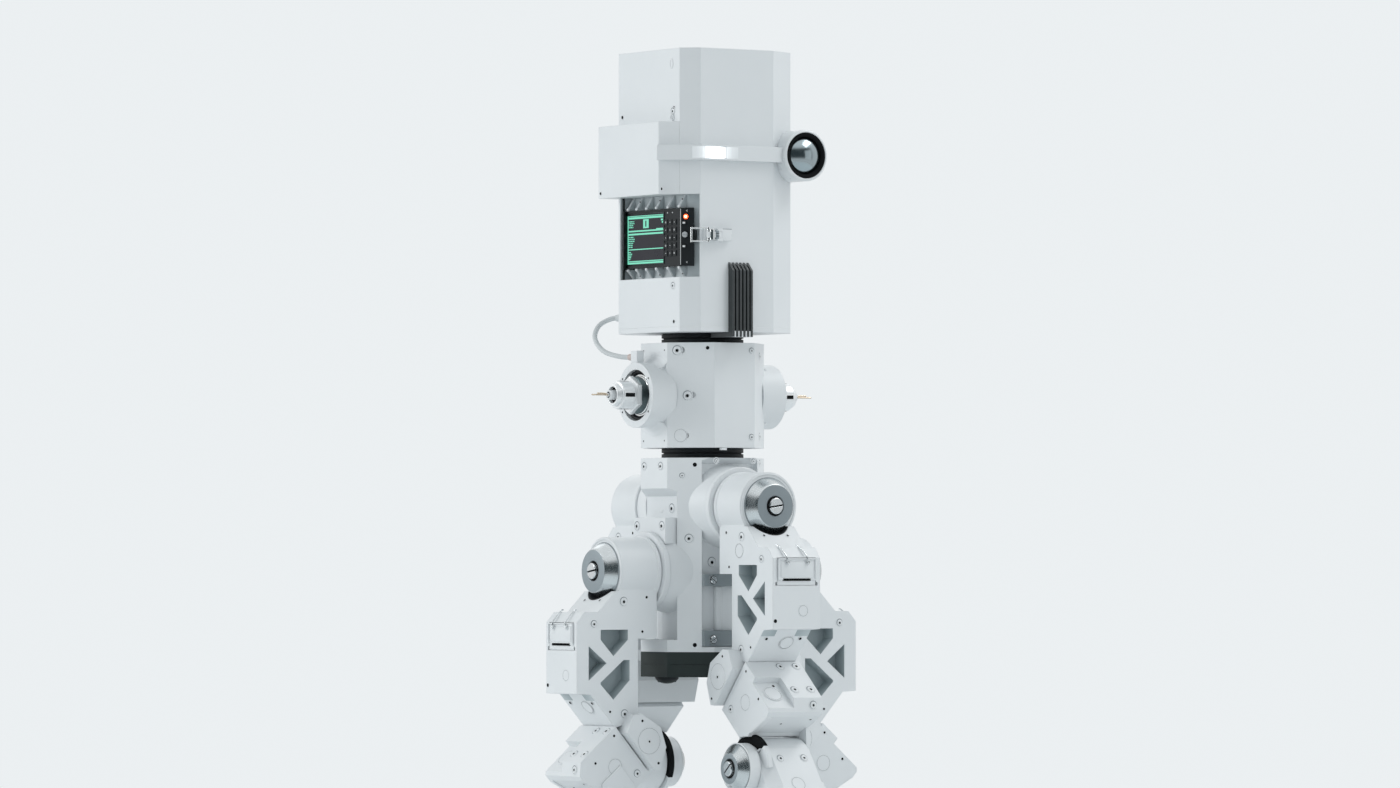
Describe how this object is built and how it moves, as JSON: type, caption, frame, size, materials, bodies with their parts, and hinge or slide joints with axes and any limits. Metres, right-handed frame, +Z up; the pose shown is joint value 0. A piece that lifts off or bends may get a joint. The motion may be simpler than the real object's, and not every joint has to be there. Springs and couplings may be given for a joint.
{
  "type": "legged robot",
  "caption": "Tall robot with an octagonal head, glass eye, hinged control panel, turning torso with tool collets, and folding legs on rubber feet.",
  "frame": {"origin": "on the floor below the centre of the body", "axes": "+Z up, -Y the front that the eye faces, -X the side with the control panel"},
  "size_m": [0.694, 0.5726, 0.927],
  "materials": {
    "white": "satin",
    "light": "glowing diffuser",
    "black": "satin",
    "glass": "polished",
    "black_metal": "black anodised",
    "board": "solder mask",
    "steel": "brushed",
    "chrome": "polished",
    "display": "lit display",
    "motor": "dark paint",
    "cable": "satin sheath",
    "plug": "satin",
    "grey_metal": "satin paint",
    "rubber": "matt"
  },
  "bodies": {
    "pelvis": {"pelvis_frame": "white", "hip_motors": "motor", "front_rails": "grey_metal", "battery_pack": "black", "waist_ring": "black"},
    "torso": {"torso_shell": "white", "torso_motors": "motor", "torso_screws": "steel", "neck_ring": "black", "cable_plug": "plug"},
    "head": {"head_shell": "white", "head_base": "white", "side_pod": "white", "visor_band": "white", "visor_light": "light", "lens_barrel": "white", "lens_ring": "black", "lens_glass": "glass", "heat_sink": "black_metal", "main_board": "board", "head_screws": "steel", "latch_base": "white", "neck_cable": "cable"},
    "panel_door": {"panel": "black", "lcd": "display"},
    "button_upper": {"button_upper": "white"},
    "button_lower": {"button_lower": "white"},
    "panel_knob": {"panel_knob": "chrome"},
    "latch_lever": {"latch_lever": "chrome"},
    "latch_bail": {"latch_bail": "chrome"},
    "collet_left": {"collet_left": "chrome"},
    "collet_right": {"collet_right": "chrome"},
    "thigh_front": {"thigh_front": "white", "hip_cap_front": "steel"},
    "hatch_front": {"hatch_front": "white"},
    "knee_front": {"knee_block_front": "white", "knee_cap_front": "steel"},
    "shank_front": {"shank_front": "white"},
    "foot_front": {"foot_front": "rubber"},
    "thigh_left": {"thigh_left": "white", "hip_cap_left": "steel"},
    "hatch_left": {"hatch_left": "white"},
    "knee_left": {"knee_block_left": "white", "knee_cap_left": "steel"},
    "shank_left": {"shank_left": "white"},
    "foot_left": {"foot_left": "rubber"},
    "thigh_rear": {"thigh_rear": "white", "hip_cap_rear": "steel"},
    "hatch_rear": {"hatch_rear": "white"},
    "knee_rear": {"knee_block_rear": "white", "knee_cap_rear": "steel"},
    "shank_rear": {"shank_rear": "white"},
    "foot_rear": {"foot_rear": "rubber"},
    "thigh_right": {"thigh_right": "white", "hip_cap_right": "steel"},
    "hatch_right": {"hatch_right": "white"},
    "knee_right": {"knee_block_right": "white", "knee_cap_right": "steel"},
    "shank_right": {"shank_right": "white"},
    "foot_right": {"foot_right": "rubber"}
  },
  "joints": [
    {"name": "waist_yaw", "type": "hinge", "parent": "pelvis", "child": "torso", "pos_m": [0, 0, 0.5265], "axis": [0, 0, 1], "range_deg": [-150, 150]},
    {"name": "neck_yaw", "type": "hinge", "parent": "torso", "child": "head", "pos_m": [0, 0, 0.641], "axis": [0, 0, 1], "range_deg": [-60, 60], "deforming": ["neck_cable"]},
    {"name": "shoulder_left", "type": "hinge", "parent": "torso", "child": "collet_left", "pos_m": [-0.09, 0, 0.58375], "axis": [-1, 0, 0], "continuous": true},
    {"name": "shoulder_right", "type": "hinge", "parent": "torso", "child": "collet_right", "pos_m": [0.09, 0, 0.58375], "axis": [1, 0, 0], "continuous": true},
    {"name": "panel_hinge", "type": "hinge", "parent": "head", "child": "panel_door", "pos_m": [-0.0635, 0.045, 0.74], "axis": [0, 0, -1], "range_deg": [0, 100]},
    {"name": "upper_button_press", "type": "slide", "parent": "panel_door", "child": "button_upper", "axis": [0.7071, 0.7071, 0], "range_m": [0, 0.001], "stiffness_N_per_m": 300},
    {"name": "lower_button_press", "type": "slide", "parent": "panel_door", "child": "button_lower", "axis": [0.7071, 0.7071, 0], "range_m": [0, 0.001], "stiffness_N_per_m": 300},
    {"name": "knob_turn", "type": "hinge", "parent": "panel_door", "child": "panel_knob", "pos_m": [-0.05873, -0.05767, 0.7421], "axis": [-0.7071, -0.7071, 0], "range_deg": [-150, 150]},
    {"name": "lever_turn", "type": "hinge", "parent": "head", "child": "latch_lever", "pos_m": [-0.034, -0.081, 0.7415], "axis": [0, 0, 1], "range_deg": [0, 110]},
    {"name": "bail_turn", "type": "hinge", "parent": "latch_lever", "child": "latch_bail", "pos_m": [-0.047, -0.0817, 0.7415], "axis": [0, 0, 1], "range_deg": [0, 90]},
    {"name": "hip_front", "type": "hinge", "parent": "pelvis", "child": "thigh_front", "pos_m": [0, -0.07, 0.473], "axis": [0, -1, 0], "range_deg": [-30, 30]},
    {"name": "hatch_hinge_front", "type": "hinge", "parent": "thigh_front", "child": "hatch_front", "pos_m": [0, -0.1645, 0.3965], "axis": [1, 0, 0], "range_deg": [0, 60]},
    {"name": "knee_roll_front", "type": "hinge", "parent": "thigh_front", "child": "knee_front", "pos_m": [0, -0.1015, 0.2945], "axis": [0, -0.7547, -0.6561], "range_deg": [-45, 45]},
    {"name": "knee_pitch_front", "type": "hinge", "parent": "knee_front", "child": "shank_front", "pos_m": [0, -0.1245, 0.215], "axis": [1, 0, 0], "range_deg": [-20, 40]},
    {"name": "ankle_front", "type": "hinge", "parent": "shank_front", "child": "foot_front", "pos_m": [0, -0.25131, 0.034], "axis": [1, 0, 0], "range_deg": [-25, 25]},
    {"name": "hip_left", "type": "hinge", "parent": "pelvis", "child": "thigh_left", "pos_m": [-0.07, 0, 0.409], "axis": [-1, 0, 0], "range_deg": [-30, 30]},
    {"name": "hatch_hinge_left", "type": "hinge", "parent": "thigh_left", "child": "hatch_left", "pos_m": [-0.1645, 0, 0.3325], "axis": [0, -1, 0], "range_deg": [0, 60]},
    {"name": "knee_roll_left", "type": "hinge", "parent": "thigh_left", "child": "knee_left", "pos_m": [-0.1015, 0, 0.2305], "axis": [-0.7547, 0, -0.6561], "range_deg": [-45, 45]},
    {"name": "knee_pitch_left", "type": "hinge", "parent": "knee_left", "child": "shank_left", "pos_m": [-0.1245, 0, 0.151], "axis": [0, -1, 0], "range_deg": [-20, 40]},
    {"name": "ankle_left", "type": "hinge", "parent": "shank_left", "child": "foot_left", "pos_m": [-0.31199, 0, 0.034], "axis": [0, -1, 0], "range_deg": [-25, 25]},
    {"name": "hip_rear", "type": "hinge", "parent": "pelvis", "child": "thigh_rear", "pos_m": [0, 0.07, 0.473], "axis": [0, 1, 0], "range_deg": [-30, 30]},
    {"name": "hatch_hinge_rear", "type": "hinge", "parent": "thigh_rear", "child": "hatch_rear", "pos_m": [0, 0.1645, 0.3965], "axis": [-1, 0, 0], "range_deg": [0, 60]},
    {"name": "knee_roll_rear", "type": "hinge", "parent": "thigh_rear", "child": "knee_rear", "pos_m": [0, 0.1015, 0.2945], "axis": [0, 0.7547, -0.6561], "range_deg": [-45, 45]},
    {"name": "knee_pitch_rear", "type": "hinge", "parent": "knee_rear", "child": "shank_rear", "pos_m": [0, 0.1245, 0.215], "axis": [-1, 0, 0], "range_deg": [-20, 40]},
    {"name": "ankle_rear", "type": "hinge", "parent": "shank_rear", "child": "foot_rear", "pos_m": [0, 0.25131, 0.034], "axis": [-1, 0, 0], "range_deg": [-25, 25]},
    {"name": "hip_right", "type": "hinge", "parent": "pelvis", "child": "thigh_right", "pos_m": [0.07, 0, 0.409], "axis": [1, 0, 0], "range_deg": [-30, 30]},
    {"name": "hatch_hinge_right", "type": "hinge", "parent": "thigh_right", "child": "hatch_right", "pos_m": [0.1645, 0, 0.3325], "axis": [0, 1, 0], "range_deg": [0, 60]},
    {"name": "knee_roll_right", "type": "hinge", "parent": "thigh_right", "child": "knee_right", "pos_m": [0.1015, 0, 0.2305], "axis": [0.7547, 0, -0.6561], "range_deg": [-45, 45]},
    {"name": "knee_pitch_right", "type": "hinge", "parent": "knee_right", "child": "shank_right", "pos_m": [0.1245, 0, 0.151], "axis": [0, 1, 0], "range_deg": [-20, 40]},
    {"name": "ankle_right", "type": "hinge", "parent": "shank_right", "child": "foot_right", "pos_m": [0.31199, 0, 0.034], "axis": [0, 1, 0], "range_deg": [-25, 25]}
  ]
}
